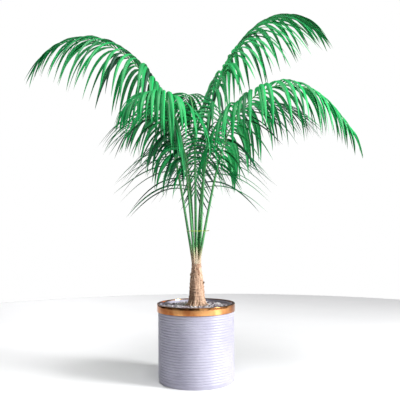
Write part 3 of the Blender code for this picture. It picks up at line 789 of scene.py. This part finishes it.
def leafletShape(frond, line, share, hand, chance):
    # one folded, drooping leaflet that tapers to a point
    along = (share - frond["bare"]) / (1 - frond["bare"])
    reach = leafletReach(along)
    base, rib = onLine(line, share)
    side = rib.cross(up).normalized() * hand
    above = side.cross(rib) * hand
    loss = leaf["spreadLoss"] * smooth(along)
    spread = radians(frond["spread"] - loss + eitherWay(chance, leafChance["spread"]))
    outward = side * cos(radians(leaf["lift"])) + above * sin(radians(leaf["lift"]))
    direction = rib * cos(spread) + outward * sin(spread)
    heading = Vector((direction.x, direction.y, 0)).normalized()
    level = heading.cross(up)
    across = rib * sin(spread) - outward * cos(spread)
    roll = atan2(across.dot(level.cross(direction)), across.dot(level))
    if abs(roll) > pi / 2:
        roll -= copysign(pi, roll)
    roll *= leaf["roll"]
    firstSlope = asin(direction.z)
    lastSlope = min(firstSlope, radians(frond["hang"] + eitherWay(chance, leafChance["hang"])))
    length = frond["leaflet"] * frond["long"] * reach * chance.uniform(*leafChance["length"])
    widened = leaf["narrowest"] + leaf["widening"] * reach
    width = leaf["width"] * frond["wide"] * widened * chance.uniform(*leafChance["width"])
    twist = eitherWay(chance, leafChance["twist"])
    droop = chance.uniform(*leafChance["droop"])
    fold = chance.uniform(*leafChance["fold"])
    veer = eitherWay(chance, leafChance["veer"])
    point = base + outward * stemRadius(frond, share) * leaf["seat"]
    vertices, faces = [], []
    rows, columns = leaf["rows"], len(leaf["columns"])
    for row in range(rows + 1):
        reached = row / rows
        slope = firstSlope + (lastSlope - firstSlope) * (1 - (1 - reached) ** droop)
        aimed = heading * cos(veer * reached) + level * sin(veer * reached)
        ahead = aimed * cos(slope) + up * sin(slope)
        flat = ahead.cross(up)
        flat = flat.normalized() if flat.length > leaf["nearlyUpright"] else level
        if flat.dot(level) < 0:
            flat = -flat
        angle = roll + twist * reached
        wide = flat * cos(angle) + flat.cross(ahead) * sin(angle)
        crown = wide.cross(ahead).normalized()
        half = width / 2 * between(reached, leaf["outline"])
        for place in leaf["columns"]:
            sunk = crown * half * fold * abs(place) ** leaf["foldPower"] * 2
            vertices.append(point + wide * half * place - sunk)
        point = point + ahead * length / rows
    for row in range(rows):
        for column in range(columns - 1):
            here = row * columns + column
            faces.append((here, here + columns, here + columns + 1, here + 1))
    return vertices, faces


def leafGreen(name, colour, rough):
    material, shader = newMaterial(name, colour, rough)
    shader.inputs["Base Color"].default_value = (*colour, 1)
    shader.inputs["Specular IOR Level"].default_value = leafShine
    return material


def petioleFinish():
    # green with brown flecks, turning tan where the petioles leave the trunk
    material = finishOf("petioleSkin", (0.030, 0.20, 0.060), (0.085, 0.32, 0.10), 34, stretch=(1, 1, 0.25),
                        span=(0.35, 0.65), rough=0.42, bump=0.15, depth=0.0004,
                        second=((0.17, 0.13, 0.085), 90, (1, 1, 0.25), (0.60, 0.74)))
    nodes, links = material.node_tree.nodes, material.node_tree.links
    shader = nodes["Principled BSDF"]
    green = shader.inputs["Base Color"].links[0].from_socket
    place, axes = nodes.new("ShaderNodeTexCoord"), nodes.new("ShaderNodeSeparateXYZ")
    links.new(place.outputs["Object"], axes.inputs[0])
    fade = mapped(nodes, links, axes.outputs["Z"], (stem["tanFrom"], stem["tanTo"]), (0, 1))
    fade.interpolation_type = "SMOOTHSTEP"
    blend = nodes.new("ShaderNodeMix")
    blend.data_type = "RGBA"
    blend.inputs["A"].default_value = (0.50, 0.36, 0.24, 1)
    links.new(fade.outputs["Result"], blend.inputs["Factor"])
    links.new(green, blend.inputs["B"])
    links.new(blend.outputs["Result"], shader.inputs["Base Color"])
    return material


def growLeaflets(frond, line):
    chance = Random(frond["seed"] * 7)
    bundle = Bundle()
    blade = frond["length"] * (1 - frond["bare"])
    count = round(blade / (leaf["spacing"] * frond["apart"]))
    # each leaflet takes one of the lit to shaded greens by its frond's weights, so front fronds get painted
    # light and back fronds painted shade
    picks = [number for number, weight in enumerate(frond["greens"]) for repeat in range(weight)]
    for index in range(count):
        for hand in (1, -1):
            shift = eitherWay(chance, leaf["shift"])
            along = (index + leaf["first"] + leaf["stagger"] * hand + shift) / count
            share = min(frond["bare"] + (1 - frond["bare"]) * along, leaf["last"])
            bundle.add(leafletShape(frond, line, share, hand, chance), chance.choice(picks))
    for hand in (leaf["endHand"], -leaf["endHand"]):  # the last pair goes on nearly straight ahead
        bundle.add(leafletShape(frond, line, leaf["endAt"], hand, chance), chance.choice(picks))
    return bundle


def makeFronds():
    lines = {name: frondLine(frond) for name, frond in fronds.items()}
    leafGreens = [leafGreen(name, *look) for name, look in greens.items()]
    petioles, rachises = Bundle(), Bundle()
    for name, frond in fronds.items():
        line, bare = lines[name], frond["bare"]
        shares = [bare * step / stem["petioleSteps"] for step in range(stem["petioleSteps"] + 1)]
        radii = []
        for share in shares:
            swell = 1 + stem["footSwell"] * exp(-share * frond["length"] / stem["swellFade"])
            radii.append(stemRadius(frond, share) * stem["fuller"] * swell)
        petioles.add(tubeShape([onLine(line, share)[0] for share in shares], radii, stem["petioleSides"]))
        shares = [bare + (1 - bare) * step / stem["rachisSteps"] for step in range(stem["rachisSteps"] + 1)]
        radii = [stemRadius(frond, share) * stem["rachisShare"] for share in shares]
        rachises.add(tubeShape([onLine(line, share)[0] for share in shares], radii, stem["rachisSides"]))
        piece = growLeaflets(frond, line).piece(name + "_leaflets", leafGreens)
        keepPiece(piece, "leaf", name + "_blade_inner", name + "_blade_outer")
    piece = petioles.piece("petioles", [petioleFinish()])
    keepPiece(piece, "petiole", *[name + "_petiole" for name in fronds])
    rachisSkin = finishOf("rachisSkin", (0.045, 0.27, 0.075), (0.12, 0.38, 0.11), 60, rough=0.42)
    keepPiece(rachises.piece("rachises", [rachisSkin]), "petiole")
    return lines


frondLines = makeFronds()
print("fronds made")

# dry sheath, fibres and tie

sheath = {"radius": 0.0184, "thickness": 0.0010, "height": 0.070, "facing": 275, "spread": 33,
          "columns": 16, "rows": 28, "tip": 0.985, "narrowing": 0.9, "waist": 0.45, "lift": 0.0006,
          "flare": 0.0016, "ripple": 0.0006, "ripples": (14, 5), "crumple": 0.0005, "crumples": (9, 6, 2)}


def makeSheath():
    # a papery strip that narrows to its tip and bends round the feet of the fronds
    vertices, faces = [], []
    across = sheath["columns"] + 1
    acrossRipples, upRipples = sheath["ripples"]
    acrossCrumples, upCrumples, layer = sheath["crumples"]
    for row in range(sheath["rows"] + 1):
        share = min(row / sheath["rows"], sheath["tip"])
        height = trunk["top"] + sheath["lift"] + sheath["height"] * row / sheath["rows"]
        spread = radians(sheath["spread"]) * (1 - share) ** sheath["narrowing"]
        spread *= 1 - sheath["waist"] * sin(pi * share)
        for column in range(across):
            place = 2 * column / sheath["columns"] - 1
            turn = radians(sheath["facing"]) + spread * place
            ripple = sheath["ripple"] * sin(place * acrossRipples + share * upRipples)
            crumpled = Vector((place * acrossCrumples, share * upCrumples, layer))
            ripple += sheath["crumple"] * wander(crumpled)
            radius = sheath["radius"] + ripple + sheath["flare"] * share ** 2
            vertices.append(Vector((trunk["x"] + radius * cos(turn), radius * sin(turn), height)))
    for row in range(sheath["rows"]):
        for column in range(sheath["columns"]):
            here = row * across + column
            faces.append((here, here + 1, here + across + 1, here + across))
    piece = newPiece("dry_sheath", meshOf("dry_sheath", vertices, faces))
    wall = piece.modifiers.new("thickness", "SOLIDIFY")
    wall.thickness = sheath["thickness"]
    wall.offset = 1
    giveMaterials(piece, [
        finishOf("dryPaperySheath", (0.55, 0.44, 0.30), (0.74, 0.65, 0.50), 80, stretch=(1, 1, 0.15),
                 span=(0.35, 0.65), rough=0.75, bump=0.5, depth=0.0005,
                 second=((0.30, 0.21, 0.13), 150, (1, 1, 0.15), (0.60, 0.75)))])
    keepPiece(piece, "dry_sheath", "leaf_sheath")


fibres = {"count": 90, "seed": 33, "heights": scar["heights"][2:] + (0.168, 0.170, 0.172), "sunk": 0.0012,
          "length": (0.006, 0.022), "lean": (0.02, 0.16), "slant": 0.25, "bow": 0.3, "steps": 4, "sides": 5,
          "radius": 0.00055, "taper": 0.7, "flat": 0.6}


def makeFibres():
    # frayed fibres of old leaf bases, on the scars and round the top of the trunk
    chance = Random(fibres["seed"])
    bundle = Bundle()
    shares = [step / fibres["steps"] for step in range(fibres["steps"] + 1)]
    for index in range(fibres["count"]):
        turn = chance.uniform(0, tau)
        out = outwardAt(turn)
        height = chance.choice(fibres["heights"])
        start = Vector((trunk["x"], 0, trunk["foot"] + height))
        start += out * (trunkRadius(height, turn) - fibres["sunk"])
        length = chance.uniform(*fibres["length"])
        lean = chance.uniform(*fibres["lean"])
        slant = eitherWay(chance, fibres["slant"])
        points = []
        for share in shares:
            ahead = up * (1 - fibres["bow"] * share) + out * lean * share + out.cross(up) * slant * share
            points.append(start + ahead * length * share)
        radii = [fibres["radius"] * (1 - fibres["taper"] * share) for share in shares]
        bundle.add(tubeShape(points, radii, fibres["sides"], fibres["flat"]))
    piece = bundle.piece("bark_fibres", [
        finishOf("barkFibre", (0.30, 0.18, 0.10), (0.52, 0.35, 0.20), 90, rough=0.85)])
    keepPiece(piece, "trunk_bark")


tie = {"height": 0.624, "wire": 0.0009, "clear": 0.0009, "wave": 0.0008, "nearest": 0.0003, "steps": 96,
       "sides": 10, "tail": 0.014, "facing": -12, "rise": 0.15, "tailSteps": 30, "ends": (31, 22),
       "turnRate": 0.75, "twistRadius": 0.0010, "strand": 0.9, "bareEnd": 0.75}


def pointAtHeight(line, height):
    for lower, upper in zip(line, line[1:]):
        if lower.z <= height <= upper.z:
            return lower.lerp(upper, (height - lower.z) / (upper.z - lower.z))
    return line[0]


def makeTie():
    # a wire loop drawn round all the petioles, with its two ends twisted together
    reach = stem["foot"] + tie["clear"] + tie["wire"]
    stems = [pointAtHeight(line, tie["height"]) for line in frondLines.values()]
    start = radians(tie["facing"])
    loop = []
    for step in range(tie["steps"] + 1):
        turn = start + tau * step / tie["steps"]
        outward = outwardAt(turn)
        contact = max(stems, key=lambda place: place.dot(outward)) + reach * outward
        contact.z = tie["height"] + tie["wave"] * sin(turn * 2)
        if not loop or (contact - loop[-1]).length > tie["nearest"]:
            loop.append(contact)
    bundle = Bundle()
    bundle.add(tubeShape(loop, [tie["wire"]] * len(loop), tie["sides"]))
    out = Vector((cos(start), sin(start), tie["rise"])).normalized()
    aside = out.cross(up).normalized()
    for phase, steps in zip((0, pi), tie["ends"]):
        points = []
        for step in range(steps):
            turn = step * tie["turnRate"] + phase
            points.append(loop[0] + out * tie["tail"] * step / tie["tailSteps"]
                          + (aside * cos(turn) + up * sin(turn)) * tie["twistRadius"])
        covered, bare = points[:-4], points[-5:]
        bundle.add(tubeShape(covered, [tie["wire"] * tie["strand"]] * len(covered), tie["sides"]))
        bundle.add(tubeShape(bare, [tie["wire"] * tie["bareEnd"]] * len(bare), tie["sides"]), 1)
    piece = bundle.piece("twist_tie", [
        finishOf("yellowGreenWire", (0.44, 0.56, 0.05), (0.60, 0.72, 0.10), 200, rough=0.42),
        finishOf("bareWireEnd", (0.05, 0.05, 0.05), (0.12, 0.11, 0.10), 300, rough=0.5)])
    keepPiece(piece, "tie", "tie")


makeSheath()
makeFibres()
makeTie()
print("sheath, fibres and tie made")

# floor

floorDisc = {"radius": 3.1, "sides": 96}


def makeFloor():
    turns = [tau * side / floorDisc["sides"] for side in range(floorDisc["sides"])]
    corners = [(floorDisc["radius"] * cos(turn), floorDisc["radius"] * sin(turn), 0) for turn in turns]
    floor = newPiece("floor", meshOf("floor", corners, [tuple(range(len(corners)))]))
    giveMaterials(floor, [finishOf("paleFloor", (0.86, 0.86, 0.87), (0.90, 0.90, 0.91), 0.8, rough=0.6)])


makeFloor()

print("scene ready")
